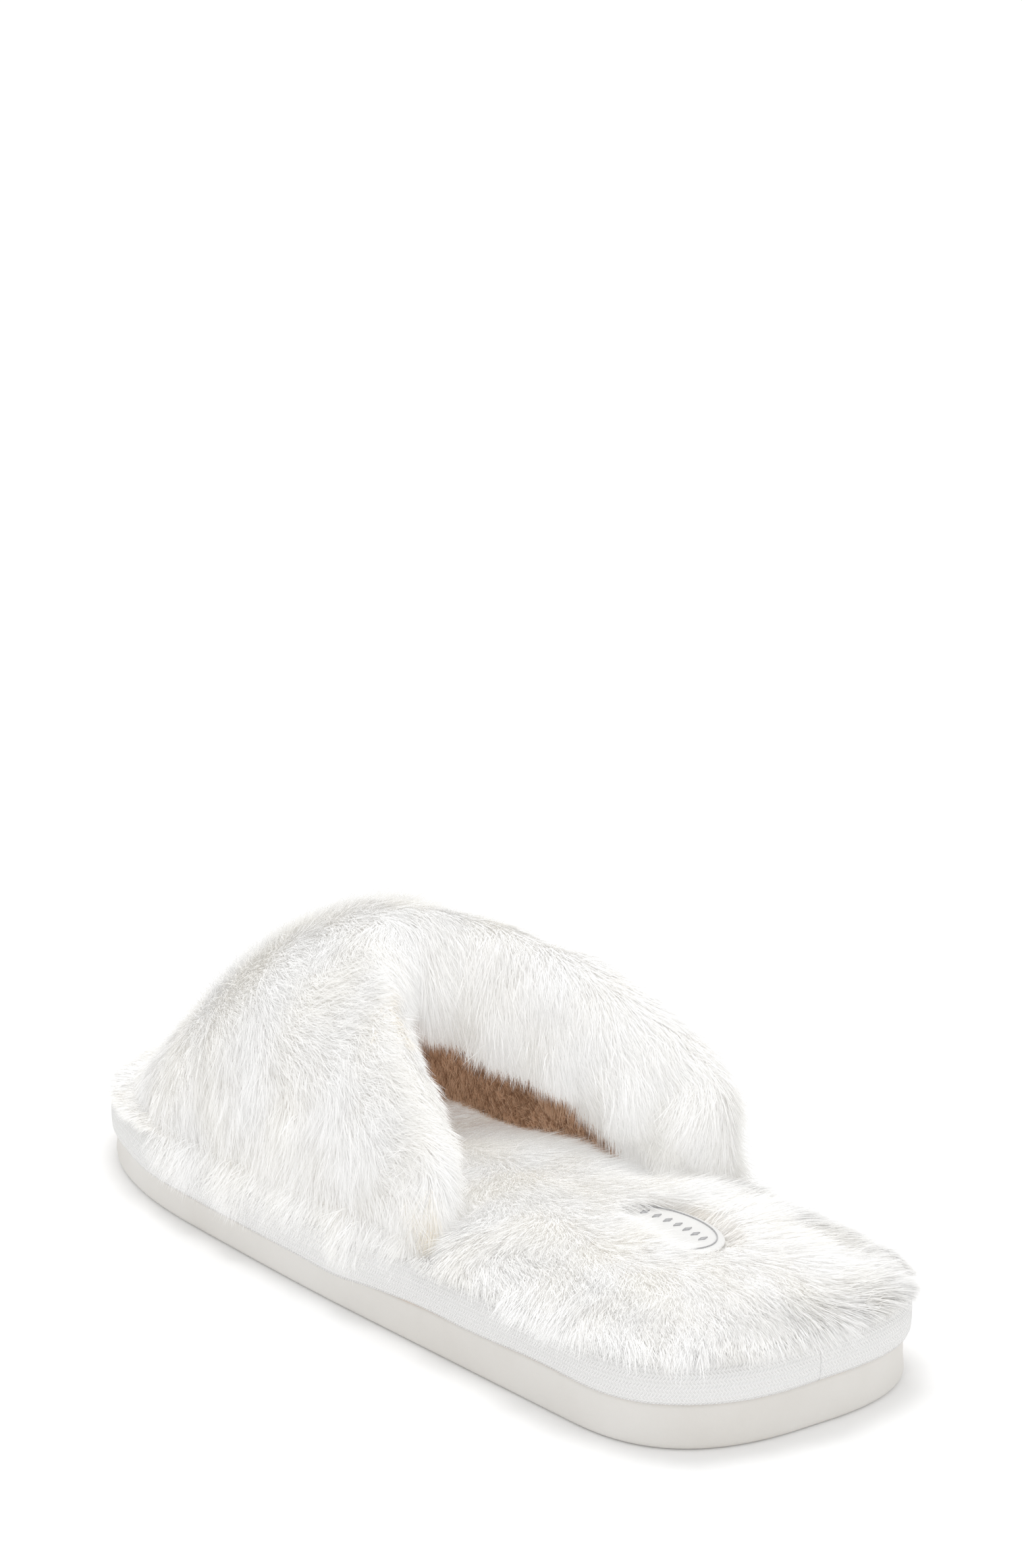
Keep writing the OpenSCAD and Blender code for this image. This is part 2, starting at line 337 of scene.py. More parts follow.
def tape_material():
    """A herringbone tape: slanted threads that turn over at every row. The pitches are in millimetres."""
    row_pitch, thread_pitch, slope = 1.1, 0.9, 0.9
    m = Nodes("woven_tape")
    along = m.add("ShaderNodeAttribute", attribute_name="along").outputs["Fac"]
    across = m.add("ShaderNodeAttribute", attribute_name="across").outputs["Fac"]
    fold = m.math("PINGPONG", across, row_pitch)
    slant = m.math("ADD", along, m.math("MULTIPLY", fold, slope))
    threads = m.math("SINE", m.math("MULTIPLY", slant, 2 * math.pi / thread_pitch))
    rows = m.math("SINE", m.math("MULTIPLY", across, 2 * math.pi / row_pitch))
    height = m.math("ADD", threads, m.math("MULTIPLY", rows, 0.5))
    # The colour is darker where the weave is low: painted shade in its grooves.
    shade = m.math("MULTIPLY_ADD", height, 0.25)
    shade.node.inputs[2].default_value = 0.5
    m.set("Base Color", m.ramp(shade, [(0.1, (0.85, 0.845, 0.83)), (0.7, (0.95, 0.945, 0.935))]))
    m.set("Roughness", 0.85)
    m.set("Sheen Weight", 0.2)
    # A slight glow: painted light that brightens the tape.
    m.set("Emission Color", (1.0, 1.0, 1.0, 1))
    m.set("Emission Strength", 0.05)
    m.bump(height, 0.6, 0.00025)
    return m.material


def underfur_material(name, dark, light, scale=600.0):
    """The knitted, fuzzy ground that the pile stands on."""
    m = Nodes(name)
    m.set("Base Color", m.ramp(m.noise(scale, 4.0), [(0.3, dark), (0.7, light)]))
    m.set("Roughness", 0.95)
    m.set("Sheen Weight", 0.3)
    m.bump(m.noise(scale * 2, 3.0), 0.8, 0.0006)
    return m.material


def plain_material(name, colour, scale=500.0):
    m = Nodes(name)
    dark = tuple(c * 0.86 for c in colour)
    m.set("Base Color", m.ramp(m.noise(scale, 4.0), [(0.35, dark), (0.65, colour)]))
    m.set("Roughness", 0.9)
    m.bump(m.noise(scale * 2, 3.0), 0.4, 0.0003)
    return m.material


def satin_material(name, colour):
    """Satin ribbon: fine threads that run across it."""
    m = Nodes(name)
    coords = m.add("ShaderNodeTexCoord").outputs["Object"]
    threads = m.add("ShaderNodeTexWave", {"Vector": coords, "Scale": 900.0, "Distortion": 0.4},
                    bands_direction="Y").outputs["Fac"]
    # The colour is darker in the low bands between the threads: painted shade.
    dark = tuple(c * 0.93 for c in colour)
    m.set("Base Color", m.ramp(threads, [(0.2, dark), (0.8, colour)]))
    m.set("Roughness", 0.35)
    m.bump(threads, 0.25, 0.0001)
    return m.material


def fibre_material(name, colour, glow):
    """One shade of pile. Its sockets stay plain, because the pile has no room for baked images. The
    slight glow stands for the light that thin white fibres pass on to each other."""
    m = Nodes(name)
    m.set("Base Color", (*colour, 1))
    m.set("Roughness", 0.75)
    m.set("Specular IOR Level", 0.25)
    m.set("Emission Color", (*colour, 1))
    m.set("Emission Strength", glow)
    return m.material


# ---------------------------------------------------------------- pile
class Waves:
    """A smooth random field made of plane waves, for flow and length."""

    def __init__(self, rng, size, count=10, channels=3):
        directions = unit(rng.normal(size=(count, 3)))
        self.k = directions * (2 * math.pi / size) * rng.uniform(0.6, 1.6, (count, 1))
        self.phase = rng.uniform(0, 2 * math.pi, (channels, count))
        self.count = count

    def __call__(self, points):
        angle = points @ self.k.T
        waves = np.stack([np.sin(angle + p).sum(-1) for p in self.phase], -1)
        return waves * (1.5 / self.count) ** 0.5 / 1.5


def scatter(points, flow, count, rng, keep=None):
    """Even random places on a grid, with the normal and the nap there. keep(points) thins them."""
    a, b, c, d = corners_of(points)
    area = np.linalg.norm(np.cross(c - a, d - b), axis=-1)
    if keep is not None:
        area = area * keep((a + c) / 2)
    cell = rng.choice(area.size, size=count, p=area.ravel() / area.sum())
    u, v = rng.random((2, count, 1))

    def blend(grid):
        p, q, r, t = [corner.reshape(-1, 3)[cell] for corner in corners_of(grid)]
        return (p * (1 - u) + q * u) * (1 - v) + (t * (1 - u) + r * u) * v

    return blend(points), unit(blend(grid_normals(points))), blend(flow)


def corners_of(grid):
    return grid[:-1, :-1], grid[1:, :-1], grid[1:, 1:], grid[:-1, 1:]


def directions(points):
    """Unit vectors along the grid's rows and columns."""
    return unit(np.gradient(points, axis=0)), unit(np.gradient(points, axis=1))


def grid_normals(points):
    du = np.gradient(points, axis=0)
    dv = np.gradient(points, axis=1)
    return unit(np.cross(du, dv))


# Whole numbers that mix a cell's indices, and factors that turn the mix into a random place in the cell
HASH_MIX, HASH_RANGE = (73856093, 19349663, 83492791), 1000003
HASH_FACTORS, HASH_SHIFT, HASH_SCALE = (12.9898, 78.233, 37.719), 1.3, 43758.5453


def clumps(roots, size, rng):
    """The nearest tuft centre for every root. There is one centre in each cell of a cubic grid."""
    keys = np.floor(roots / size + rng.random(3)).astype(np.int64)
    best = np.full(len(roots), 1e9)
    centre = roots.copy()
    offsets = [(i, j, k) for i in (-1, 0, 1) for j in (-1, 0, 1) for k in (-1, 0, 1)]
    for off in offsets:
        key = keys + np.array(off)
        h = (key * np.array(HASH_MIX)).sum(-1) % HASH_RANGE
        jitter = np.stack([np.modf(np.sin(h * f + HASH_SHIFT) * HASH_SCALE)[0] for f in HASH_FACTORS], -1)
        spot = (key + 0.5 + 0.45 * jitter) * size
        dist = np.linalg.norm(spot - roots, axis=-1)
        near = dist < best
        best = np.where(near, dist, best)
        centre[near] = spot[near]
    return centre


# The lengths of a strand's lower and upper part, as shares of the whole, and the scatter of its lean in radians
STRAND_PARTS, LEAN_SCATTER = (0.45, 0.55), 0.14


def grow(roots, normals, flow, length, lean, rng, tuft=6.0, gather=0.3, curl=0.22, droop=(0.0, 0.0)):
    """Root, middle and tip (n, 3, 3) of every strand. lean is the angle from the normal of the lower
    and of the upper part, in degrees, and droop the pull of their weight."""
    n = len(roots)
    flow = unit(flow) + rng.normal(size=(n, 3)) * curl
    flow = unit(flow - normals * (flow * normals).sum(-1, keepdims=True))
    spread = rng.normal(size=n) * LEAN_SCATTER
    centre = clumps(roots, tuft, rng)
    centre = centre - normals * ((centre - roots) * normals).sum(-1, keepdims=True)
    pull = (centre - roots) * gather * rng.uniform(0.4, 1.2, (n, 1))
    points = [roots]
    for angle, part, weight in zip(lean, STRAND_PARTS, droop):
        angle = (np.radians(np.broadcast_to(angle, n)) + spread)[:, None]
        step = unit(normals * np.cos(angle) + flow * np.sin(angle) - np.array([0, 0, weight]))
        points.append(points[-1] + step * (length * part)[:, None] + pull * part)
    return np.stack(points, 1)


# Faces of one strand. Its corners are left and right at the root and at the middle, then the tip
STRAND_FACES = ((0, 1, 3, 2), (2, 3, 4))
STRAND_CORNERS = 5
# Its width at the root and at the middle, as shares of the full width
STRAND_TAPER = (0.8, 1.0)
# Strands in one piece, at most, so that a piece stays within the export's size
MOST_STRANDS = 64000


def strand_meshes(name, points, normals, width, shades, tone, rng):
    """Flat tapering strands, 3 triangles each, in pieces small enough for the export."""
    order = rng.permutation(len(points))
    parts = max(1, math.ceil(len(points) / MOST_STRANDS))
    corners = np.array([i for face in STRAND_FACES for i in face])
    sizes = np.array([len(face) for face in STRAND_FACES])
    starts = np.cumsum(sizes) - sizes
    for part in range(parts):
        pick = order[part::parts]
        p, nrm = points[pick], normals[pick]
        n = len(pick)
        direction = unit(p[:, 2] - p[:, 0])
        side = unit(np.cross(direction, nrm))
        roll = rng.uniform(-0.5, 0.5, (n, 1))
        side = side * np.cos(roll) + unit(np.cross(side, direction)) * np.sin(roll)
        half = width * rng.uniform(0.7, 1.3, (n, 1)) / 2
        verts = np.empty((n, STRAND_CORNERS, 3), dtype=np.float32)
        for k, taper in enumerate(STRAND_TAPER):
            verts[:, 2 * k] = p[:, k] - side * half * taper
            verts[:, 2 * k + 1] = p[:, k] + side * half * taper
        verts[:, 4] = p[:, 2]
        each = np.arange(n)[:, None]
        mesh = bpy.data.meshes.new(f"{name}_{part + 1}")
        mesh.vertices.add(n * STRAND_CORNERS)
        mesh.vertices.foreach_set("co", (verts * MM).ravel())
        mesh.loops.add(n * len(corners))
        mesh.loops.foreach_set("vertex_index", (each * STRAND_CORNERS + corners).ravel().astype(np.int32))
        mesh.polygons.add(n * len(sizes))
        mesh.polygons.foreach_set("loop_start", (each * len(corners) + starts).ravel().astype(np.int32))
        index = tone[pick][:, None] * 2 + np.array([0, 1])
        mesh.polygons.foreach_set("material_index", index.ravel().astype(np.int32))
        for shade in shades:
            for material in shade:
                mesh.materials.append(material)
        mesh.update()
        mesh.validate()
        piece = bpy.data.objects.new(mesh.name, mesh)
        bpy.context.scene.collection.objects.link(piece)
        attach(piece, "root")


# ---------------------------------------------------------------- pieces
SIDE_NAMES = {1: "outer", -1: "inner"}


def half_arch(side, gap=0.0):
    """Start and end of one half of the arch in radians, with a gap left at the sole."""
    return (gap, math.pi / 2) if side > 0 else (math.pi / 2, math.pi - gap)


def arch_grid(a0, a1, u0, u1, depth, rows=90, cols=120):
    """Points of the upper at one depth, or on the skin under the pile where depth is None."""
    a = np.linspace(a0, a1, rows)[:, None] + np.zeros((1, cols))
    u = np.sin(np.linspace(math.asin(u0), math.asin(u1), cols))[None, :] + np.zeros((rows, 1))
    return skin_point(a, u) if depth is None else upper_point(a, u, depth)


def make_outsole():
    """The sole: rings from the middle of its underside out to the edge, up the wall and in over the top."""
    s, side = outline(RING_STEPS)

    def floor(d, z):
        ring = rim(s, side, d, 0.0)
        ring[:, 2] = z
        return ring

    def grooved(d):
        ring = rim(s, side, d, 0.0)
        near = np.abs((ring[:, 1] + TREAD_PITCH / 2) % TREAD_PITCH - TREAD_PITCH / 2)
        inside = np.abs(ring[:, 1]) < TREAD_REACH * TREAD_PITCH
        ring[:, 2] = TREAD_DEPTH * (near < TREAD_GAP / 2) * inside
        return ring

    rings = [grooved(-DOME_IN), grooved(-DOME_IN / 2), grooved(-TREAD_EDGE - TREAD_SLOPE)]
    rings.append(floor(-TREAD_EDGE, 0.0))
    for angle in np.radians([0, 22, 45, 68, 90]):
        rings.append(floor(-EDGE_ROUND * (1 - math.sin(angle)), EDGE_ROUND * (1 - math.cos(angle))))
    for share in (0.35, 0.6, 0.85):
        ring = rim(s, side, -WALL_HOLLOW * math.sin(math.pi * share), 0.0)
        ring[:, 2] = mix(EDGE_ROUND, ring[:, 2], share)
        rings.append(ring)
    rings.append(rim(s, side, -0.05, -TOP_ROUND))
    rings.append(rim(s, side, -TOP_ROUND, -0.05))
    rings.append(rim(s, side, -4.0, 0.0))
    piece = loft("outsole_moulding", rings)
    piece.data.materials.append(foam_sole_material())
    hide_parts("outsole")


def make_cement():
    """A thin bead of dried cement, squeezed out unevenly."""
    s, side = outline(RING_STEPS)
    field = Waves(np.random.default_rng(SEED), 9.0, channels=1)
    inset, radius, uneven = -0.35, 0.45, 0.16
    middle = rim(s, side, inset, GLUE_T / 2)
    squeeze = uneven * field(middle)[:, 0]
    rings = []
    for angle in np.linspace(0, 2 * math.pi, 8, endpoint=False):
        out = inset + radius * np.cos(angle) + squeeze
        rings.append(rim(s, side, out, GLUE_T / 2 + radius * np.sin(angle)))
    piece = loft("cement_bead", rings, closed=True)
    piece.data.materials.append(cement_material())
    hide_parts("glue_line")


# The tape's cross-section: how far out, how high, and its share of the wavy droop. Only its first TAPE_FRONT
# points show
TAPE_PROFILE = ((0.25, 0.35, 1.0), (0.7, 0.15, 1.0), (1.15, 1.2, 0.8), (1.3, 3.0, 0.4), (1.35, 5.5, 0.0),
                (1.0, 7.8, 0.0), (0.2, 9.3, 0.0), (-1.0, 10.0, 0.0), (-TAPE_LIP, 10.1, 0.0),
                (-TAPE_LIP, 8.8, 0.0), (-1.2, 8.6, 0.0), (-0.2, 5.5, 0.0), (-0.6, 2.0, 0.0), (-0.9, 0.6, 0.0))
TAPE_FRONT = 8
# The tape's lower edge dips over the cement on the outer side, and the whole tape is a little uneven
TAPE_DIP, DIP_Y, DIP_REACH = 1.6, 2.0, 12.0
TAPE_WOBBLE = 0.25


def make_tape():
    s, side = outline(RING_STEPS)
    y = HALF_L - s
    dip = TAPE_DIP * np.exp(-((y - DIP_Y) / DIP_REACH) ** 2) * (side > 0)
    field = Waves(np.random.default_rng(SEED + 1), 38.0, channels=2)
    wobble = field(rim(s, side, 0, 0))
    rings = []
    across = []
    path = 0.0
    for k, (d, z, drop) in enumerate(TAPE_PROFILE):
        bulge = TAPE_WOBBLE * wobble[:, 0] * (1 if k < TAPE_FRONT else 0)
        low = drop * (dip + TAPE_WOBBLE * wobble[:, 1] + 0.1) + toe_press(y) * z / RIM_H
        rings.append(rim(s, side, d + bulge, z - low))
        if k:
            path += math.dist(TAPE_PROFILE[k][:2], TAPE_PROFILE[k - 1][:2])
        across.append(np.full(len(s), path))
    piece = loft("edge_tape_woven", rings, closed=True)
    edge = rim(s, side, 0, 0)
    walk = np.concatenate([[0], np.cumsum(np.linalg.norm(np.diff(edge, axis=0), axis=-1))])
    add_attribute(piece, "along", np.tile(walk, len(TAPE_PROFILE)))
    add_attribute(piece, "across", np.concatenate(across))
    piece.data.materials.append(tape_material())
    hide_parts("edge_tape")


def footbed_grid(lift, base, steps=BED_STEPS, rows=26, last=1.0):
    s, side = outline(steps)
    t = np.linspace(0, last, rows)[:, None]
    grid = footbed_point(s[None, :] + 0 * t, side[None, :] + 0 * t, t, lift)
    grid[..., 2] += base
    return grid


def make_footbed(ground):
    """The padded cushion under the pile: the CAD crown with soft low hollows."""
    top = footbed_grid(CROWN, CUSHION_EDGE)
    field = Waves(np.random.default_rng(SEED + 2), 60.0, channels=1)
    top[..., 2] += HOLLOWS * field(top)[..., 0] * np.linspace(0, 1, top.shape[0])[:, None] ** 0.5
    edge = top[0].copy()
    edge[:, 2] -= CUSHION_EDGE
    rings = [footbed_grid(0.0, 0.02)[-1], edge, *top]
    piece = loft("footbed_cushion", rings)
    piece.data.materials.append(ground)
    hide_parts("footbed_fur")
    return top


def make_upper(side, ground):
    name = SIDE_NAMES[side]
    a0, a1 = half_arch(side)
    outer = arch_grid(a0, a1, 0, 1, None, 60, 90)
    inner = arch_grid(a0, a1, 0, 1, FUR_T, 60, 90)
    rings = np.concatenate([outer, inner[:, ::-1]], axis=1)
    piece = loft(f"upper_plush_{name}", rings)
    piece.data.materials.append(ground)
    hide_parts(f"upper_fur_{name}")


def make_lining(side, material):
    name = SIDE_NAMES[side]
    a0, a1 = half_arch(side)
    outer = arch_grid(a0, a1, 0, 1, FUR_T + FOAM_T, 60, 90)
    inner = arch_grid(a0, a1, 0, 1, UPPER_T - 0.8, 60, 90)
    piece = loft(f"lining_plush_{name}", np.concatenate([outer, inner[:, ::-1]], axis=1))
    piece.data.materials.append(material)
    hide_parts(f"upper_lining_{name}")


def collar_grid(a0, a1, r0, r1, rows=110, cols=28):
    a = np.linspace(a0, a1, rows)[:, None] + np.zeros((1, cols))
    r = np.linspace(r0, r1, cols)[None, :] + np.zeros((rows, 1))
    return collar_skin(a, r)


def make_collar(side, ground, foam):
    name = SIDE_NAMES[side]
    a0, a1 = half_arch(side)
    skin = collar_grid(a0, a1, -math.pi / 2, math.pi / 2, rows=60)
    a = np.linspace(a0, a1, 60)
    middle = upper_point(a, 0 * a, UPPER_T / 2)
    reach = (upper_point(a, 0 * a, 0) - middle) * skin_share(a)[:, None]
    front = middle[:, None] + reach[:, None] * np.linspace(-1, 1, skin.shape[1])[None, :, None]
    core = mix(middle[:, None], skin, CLOTH_SHARE)
    piece = loft(f"collar_roll_{name}", np.concatenate([skin, core[:, ::-1]], axis=1))
    piece.data.materials.append(ground)
    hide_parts(f"collar_fur_{name}")
    round_side = mix(middle[:, None], skin, ROUND_SHARE)
    flat_side = mix(middle[:, None], front, FLAT_SHARE)[:, ::-1]
    stuffing = loft(f"collar_stuffing_{name}", np.concatenate([round_side, flat_side], axis=1))
    stuffing.data.materials.append(foam)
    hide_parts(f"collar_padding_{name}")


def in_label(points, grow_by):
    x = (points[..., 0] - LABEL_X) / (LABEL_W / 2 + grow_by)
    y = (points[..., 1] - LABEL_Y) / (LABEL_L / 2 + grow_by)
    return x * x + y * y < 1


# The label lies this deep in the pile, and its ends are cupped up by this much
LABEL_SINK, LABEL_CUP = 2.6, 0.5
# Its border line: where it runs, as a share of the label, and how wide it is
BORDER_SHARE, BORDER_W = 0.86, 0.28
# Its lozenges: number each way from the middle, pitch, distance from the middle line and bend of the row
LOZENGES, LOZENGE_PITCH, LOZENGE_OFFSET, LOZENGE_BEND = 3, 3.6, 4.0, 0.14
LOZENGE_HALF_L, LOZENGE_HALF_W = 1.5, 0.75
# The woven mark's lower and upper face, from the label's face
MARK_LOW, MARK_HIGH = -0.05, 0.22


def make_label():
    """A slightly cupped satin oval, with a border line and a row of lozenges."""
    base = HEEL_T + RIM_H + FOAM_CROWN + FOOTBED_PILE - LABEL_SINK
    angle = np.linspace(0, 2 * math.pi, LABEL_STEPS, endpoint=False)

    def oval(share, z):
        x = LABEL_X + LABEL_W / 2 * share * np.cos(angle)
        y = LABEL_Y + LABEL_L / 2 * share * np.sin(angle)
        return np.stack([x, y, base + z + LABEL_CUP * (share * np.sin(angle)) ** 2], -1)

    rows = [oval(0.02, 0.0), oval(0.6, 0.0), oval(0.98, 0.0), oval(1.0, 0.2), oval(1.0, 0.5), oval(0.97, 0.7),
            oval(0.8, LABEL_T), oval(0.5, LABEL_T), oval(0.02, LABEL_T)]
    faces = grid_faces(len(rows), LABEL_STEPS, wrap_cols=True)
    faces.append(tuple(range(LABEL_STEPS - 1, -1, -1)))
    faces.append(tuple(range((len(rows) - 1) * LABEL_STEPS, len(rows) * LABEL_STEPS)))
    piece = new_piece("label_patch", np.concatenate(rows), faces)
    piece.data.materials.append(satin_material("label_cloth", (0.93, 0.925, 0.91)))
    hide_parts("heel_label")

    def face_height(y):
        return base + LABEL_T + LABEL_CUP * ((y - LABEL_Y) / (LABEL_L / 2)) ** 2

    verts = []
    faces = []

    def prism(corners):
        start = len(verts)
        n = len(corners)
        for z in (MARK_LOW, MARK_HIGH):
            for x, y in corners:
                verts.append((x, y, face_height(y) + z))
        faces.append(tuple(start + i for i in reversed(range(n))))
        faces.append(tuple(start + n + i for i in range(n)))
        for i in range(n):
            j = (i + 1) % n
            faces.append((start + i, start + j, start + n + j, start + n + i))

    spot = np.array([LABEL_X, LABEL_Y])
    inner = np.array([LABEL_W / 2, LABEL_L / 2]) * BORDER_SHARE
    ring = inner + BORDER_W
    for i in range(LABEL_STEPS):
        j = (i + 1) % LABEL_STEPS
        c0 = np.array([math.cos(angle[i]), math.sin(angle[i])])
        c1 = np.array([math.cos(angle[j]), math.sin(angle[j])])
        prism([tuple(spot + size * c) for size, c in ((inner, c0), (ring, c0), (ring, c1), (inner, c1))])
    for k in range(-LOZENGES, LOZENGES + 1):
        y = LABEL_Y + k * LOZENGE_PITCH
        x = LABEL_X - LOZENGE_OFFSET + LOZENGE_BEND * k * k
        half_l, half_w = LOZENGE_HALF_L, LOZENGE_HALF_W
        prism([(x - half_l, y), (x, y - half_w), (x + half_l, y), (x, y + half_w)])
    mark = new_piece("label_motif", np.array(verts), faces)
    mark.data.materials.append(satin_material("label_thread", (0.52, 0.52, 0.53)))
    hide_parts("label_mark")


# ---------------------------------------------------------------- build
DENSITY = 1.0

# Three shades of each kind of pile, each with the colour of its root and of its tip, and how strongly they
# glow.
# The darker, warmer roots are painted shade deep in the pile, and the glow is painted light.
WHITE_TONES = (((0.95, 0.93, 0.895), (0.97, 0.963, 0.945)),
               ((0.96, 0.945, 0.92), (0.98, 0.975, 0.965)),
               ((0.965, 0.955, 0.94), (0.985, 0.983, 0.978)))
TAN_TONES = (((0.44, 0.285, 0.18), (0.58, 0.405, 0.28)),
             ((0.48, 0.315, 0.205), (0.64, 0.46, 0.325)),
             ((0.52, 0.35, 0.235), (0.70, 0.52, 0.38)))
BEIGE_TONES = (((0.90, 0.81, 0.66), (0.94, 0.89, 0.80)),
               ((0.92, 0.85, 0.73), (0.95, 0.915, 0.85)),
               ((0.94, 0.90, 0.82), (0.96, 0.94, 0.90)))
WHITE_GLOW, RIM_GLOW, BED_GLOW, TAN_GLOW, BEIGE_GLOW = 0.095, 0.05, 0.11, 0.18, 0.09
# The footbed's rim is white pile darkened to this share, with a weaker glow: painted shade at its edge. The
# brighter shades of its middle glow more: painted light.
RIM_PAINTED_SHADE = 0.96
STRAND_W = 0.22
# Lengths vary between these shares of the one that is asked for, and by this much more from patch to patch
LENGTH_LOW, LENGTH_HIGH, PATCH_LENGTH = 0.72, 1.15, 0.15


def shades_of(name, tones, glow):
    return [[fibre_material(f"{name}_{k}_{part}", colour, glow) for part, colour in zip(("root", "tip"), tone)]
            for k, tone in enumerate(tones)]


def toeward(p, start, reach):
    """0 up to y = start, then rising to 1 over the reach towards the toe."""
    return smooth((start - p[..., 1]) / reach)


def heelward(p, start, reach):
    return smooth((p[..., 1] - start) / reach)


def upward(p, start, reach):
    return smooth((p[..., 2] - start) / reach)


class Pile:
    """Grows strands on grids of points. All calls share one stream of random numbers, so their order counts."""

    def __init__(self):
        self.rng = np.random.default_rng(SEED + 5)
        self.wide_waves = Waves(self.rng, 46.0, count=12)
        self.fine_waves = Waves(self.rng, 14.0, count=12)
        self.patches = Waves(self.rng, 22.0, count=10, channels=2)

    def cover(self, name, grid, nap, count, length, lean, slot, shades, keep=None, flip=False, swirl=0.45,
              bright=None, **options):
        """Cover a grid of points with count strands that lean towards the nap.

        lean has two angles from the normal, in degrees. The angles and the length are numbers or functions
        of the places. keep(places) thins the strands, and bright(places) is the share of the brighter shades,
        which are painted light.
        """
        rng = self.rng
        places, normals, flow = scatter(grid, nap, int(count * DENSITY), rng, keep)
        if flip:
            normals = -normals
        flow = unit(flow) + swirl * self.wide_waves(places) + 0.5 * swirl * self.fine_waves(places)
        patch = self.patches(places)
        long = length(places) if callable(length) else length
        long = long * rng.uniform(LENGTH_LOW, LENGTH_HIGH, len(places)) * (1 + PATCH_LENGTH * patch[:, 0])
        bent = [angle(places) if callable(angle) else angle for angle in lean]
        points = grow(places, normals, flow, long, bent, rng, **options)
        tone = np.round(1 + 1.2 * patch[:, 1] + rng.normal(size=len(places)) * 0.5)
        tone = np.clip(tone, 0, 2).astype(int)
        if bright is not None:
            tone = tone + len(WHITE_TONES) * (rng.random(len(places)) < bright(places))
        strand_meshes(name, points, normals, STRAND_W / DENSITY ** 0.5, shades, tone, rng)


def grow_upper(pile, white):
    """The nap runs back to the throat, down at the sides and forward at the toe, where it is shorter."""
    a = np.linspace(0, math.pi, 160)[:, None, None]
    skin = arch_grid(0.0, math.pi, 0.0, 1.0, None, 160, 120)
    round_arch, to_toe = directions(skin)
    turn = 1 - 2 * toeward(skin, -86, 34)[..., None]
    nap = -0.8 * turn * to_toe - 0.8 * np.cos(a) * round_arch

    def shorter_in_front_and_on_top(p):
        return mix(12.0, 4.5, toeward(p, -58, 58)) - 3.5 * upward(p, 66, 8)

    pile.cover("fur_upper", skin, nap, 245000, shorter_in_front_and_on_top, (50, 82), "upper_plush", white,
               tuft=7.0, gather=0.25)


def grow_collars(pile, white):
    """The nap runs down along the throat, and the far half's hangs over the lining."""
    rows, cols = 100, 36

    def long_on_top(p):
        return mix(5.5, 13.0, upward(p, 26, 28)) - 4.0 * upward(p, 70, 7)

    for side, count, length, lean in ((1, 45000, 8.5, (56, 88)), (-1, 85000, long_on_top, (50, 82))):
        ends = half_arch(side, 0.02)
        roll = collar_grid(*ends, math.radians(-88), math.radians(88), rows=rows, cols=cols)
        round_arch, over = directions(roll)
        hang = smooth(np.linspace(1.2, -0.9, cols))[None, :, None] * (side < 0)
        along = np.clip(1.6 * np.cos(np.linspace(*ends, rows)), -1, 1)[:, None, None]
        nap = -along * round_arch - (0.25 + 0.5 * (1 - np.abs(along))) * over
        nap = mix(nap, 0.5 * nap + np.array([0, 0.9, -1.0]), 0.75 * hang)
        pile.cover(f"fur_collar_{SIDE_NAMES[side]}", roll, nap, count, length, lean, "upper_plush", white,
                   tuft=8.0, gather=0.25, swirl=0.6, droop=(0.0, 0.25))


def grow_facings(pile, white):
    """White fur that turns in from the collar's roll over the lining's edge. It is long on the inner half."""
    rows = 90
    for side, count, length, droop in ((1, 22000, 9.0, (0, 0.3)), (-1, 34000, 14.5, (0.3, 0.9))):
        ends = half_arch(side, 0.05)
        a = np.linspace(*ends, rows)
        edge = [upper_point(a, 0 * a, depth) for depth in np.linspace(FUR_T, UPPER_T - 1.6, 5)]
        inside = arch_grid(*ends, 0.0, 0.1, UPPER_T - 1.2, rows, 16)
        facing = np.concatenate([np.stack(edge, 1), inside], axis=1)
        nap = np.zeros_like(facing) + np.array([0, 0.2, -1.0])
        pile.cover(f"fur_facing_{SIDE_NAMES[side]}", facing, nap, count, length, (45, 75), "upper_plush", white,
                   flip=True, tuft=8.0, gather=0.35, swirl=0.35, droop=droop)


def from_edge(p):
    """Rough distance of the footbed's points from its edge."""
    s = HALF_L - p[:, 1]
    across = np.abs(p[:, 0] - swing(s)) * HALF_W / width_at(s)
    return np.minimum(HALF_W - across, s) - TAPE_LIP


def grow_footbed(pile, shaded_and_lit_pile):
    """The pile leans out from the middle line and back to the heel, and spills over the tape's lip."""
    bed = footbed_grid(CROWN, CUSHION_EDGE, last=1.1)
    x, y = bed[..., 0], bed[..., 1]
    over_label = np.exp(-((x - LABEL_X - 14) / 8) ** 2 - ((y - LABEL_Y) / 26) ** 2)
    nap = np.stack([x / 26 - over_label, 0.6 + 0.4 * heelward(bed, 60, 60), 0 * x], -1)

    def bare(p):
        return np.where(in_label(p, 0.8), 0.0, 1.0) * np.where(p[..., 1] > -45, 1.0, 0.2)

    def edge_lean(first, last):
        return lambda p: mix(last, first, smooth(from_edge(p) / 9.0))

    def length(p):
        far_heel = heelward(p, 80, 22) * smooth((-20 - p[:, 0]) / 14)
        return mix(10.5, 4.5, toeward(p, 5, 30)) * (1 - 0.15 * far_heel)

    # The brighter shades, away from the edge and on the near side, are painted light; the rim's darker ones are
    # painted shade.
    def bright(p):
        return np.maximum(smooth((from_edge(p) - 3) / 16), 0.7 * smooth((p[:, 0] + 5) / 20))

    lean = (edge_lean(54, 65), edge_lean(82, 104))
    pile.cover("fur_footbed", bed, nap, 170000, length, lean, "footbed_plush", shaded_and_lit_pile, keep=bare,
               bright=bright, tuft=7.0, gather=0.2, curl=0.16, swirl=0.35)


